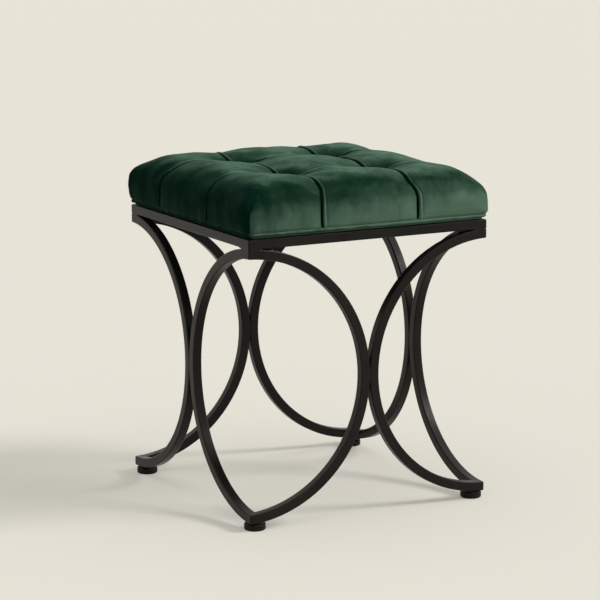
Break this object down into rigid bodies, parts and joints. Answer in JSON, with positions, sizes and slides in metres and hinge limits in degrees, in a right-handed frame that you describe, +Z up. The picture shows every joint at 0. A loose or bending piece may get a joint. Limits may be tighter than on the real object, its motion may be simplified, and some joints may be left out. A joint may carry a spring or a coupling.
{
  "type": "accent stool",
  "caption": "Square accent stool with a tufted velvet cushion on a black steel tube frame of half-round legs set back to back, on screw-adjustable feet.",
  "frame": {"origin": "on the floor, under the middle of the seat", "axes": "+Z up, -Y out of the front side, +X to the right seen from the front"},
  "size_m": [0.3984, 0.3984, 0.4942],
  "materials": {
    "frame_black": "satin powder coat",
    "stud_black": "black plated steel",
    "zinc_steel": "zinc plated",
    "pad_black": "moulded nylon",
    "velvet": "short pile velvet",
    "foam": "open cell foam",
    "plywood": "raw plywood",
    "lining": "non-woven lining",
    "twine": "waxed twine"
  },
  "bodies": {
    "root": {"rail_front": "frame_black", "rail_right": "frame_black", "rail_back": "frame_black", "rail_left": "frame_black", "leg_front_left": "frame_black", "leg_front_right": "frame_black", "leg_right_front": "frame_black", "leg_right_back": "frame_black", "leg_back_right": "frame_black", "leg_back_left": "frame_black", "leg_left_back": "frame_black", "leg_left_front": "frame_black", "corner_plate_front_left": "frame_black", "corner_plate_front_right": "frame_black", "corner_plate_back_right": "frame_black", "corner_plate_back_left": "frame_black", "foot_bush_front_left": "frame_black", "foot_bush_front_right": "frame_black", "foot_bush_back_right": "frame_black", "foot_bush_back_left": "frame_black", "leg_welds": "frame_black", "velvet_cover": "velvet", "piping": "velvet", "foam_block": "foam", "seat_board": "plywood", "under_lining": "lining", "tuft_ties": "twine", "seat_bolts": "zinc_steel", "seat_washers": "zinc_steel", "tee_nuts": "zinc_steel", "staples": "zinc_steel"},
    "glide_pad_front_left": {"glide_pad_front_left": "pad_black"},
    "glide_stud_front_left": {"glide_stud_front_left": "stud_black"},
    "glide_pad_front_right": {"glide_pad_front_right": "pad_black"},
    "glide_stud_front_right": {"glide_stud_front_right": "stud_black"},
    "glide_pad_back_right": {"glide_pad_back_right": "pad_black"},
    "glide_stud_back_right": {"glide_stud_back_right": "stud_black"},
    "glide_pad_back_left": {"glide_pad_back_left": "pad_black"},
    "glide_stud_back_left": {"glide_stud_back_left": "stud_black"}
  },
  "joints": [
    {"name": "front_left_height", "type": "slide", "parent": "root", "child": "glide_pad_front_left", "axis": [0, 0, -1], "range_m": [0, 0.005]},
    {"name": "front_left_screw", "type": "hinge", "parent": "glide_pad_front_left", "child": "glide_stud_front_left", "pos_m": [-0.18, -0.18, 0.005], "axis": [0, 0, -1], "range_deg": [0, 1800]},
    {"name": "front_right_height", "type": "slide", "parent": "root", "child": "glide_pad_front_right", "axis": [0, 0, -1], "range_m": [0, 0.005]},
    {"name": "front_right_screw", "type": "hinge", "parent": "glide_pad_front_right", "child": "glide_stud_front_right", "pos_m": [0.18, -0.18, 0.005], "axis": [0, 0, -1], "range_deg": [0, 1800]},
    {"name": "back_right_height", "type": "slide", "parent": "root", "child": "glide_pad_back_right", "axis": [0, 0, -1], "range_m": [0, 0.005]},
    {"name": "back_right_screw", "type": "hinge", "parent": "glide_pad_back_right", "child": "glide_stud_back_right", "pos_m": [0.18, 0.18, 0.005], "axis": [0, 0, -1], "range_deg": [0, 1800]},
    {"name": "back_left_height", "type": "slide", "parent": "root", "child": "glide_pad_back_left", "axis": [0, 0, -1], "range_m": [0, 0.005]},
    {"name": "back_left_screw", "type": "hinge", "parent": "glide_pad_back_left", "child": "glide_stud_back_left", "pos_m": [-0.18, 0.18, 0.005], "axis": [0, 0, -1], "range_deg": [0, 1800]}
  ],
  "couplings": [
    {"joint": "front_left_height", "follows": "front_left_screw", "m_per_rad": 0.000159},
    {"joint": "front_right_height", "follows": "front_right_screw", "m_per_rad": 0.000159},
    {"joint": "back_right_height", "follows": "back_right_screw", "m_per_rad": 0.000159},
    {"joint": "back_left_height", "follows": "back_left_screw", "m_per_rad": 0.000159}
  ]
}
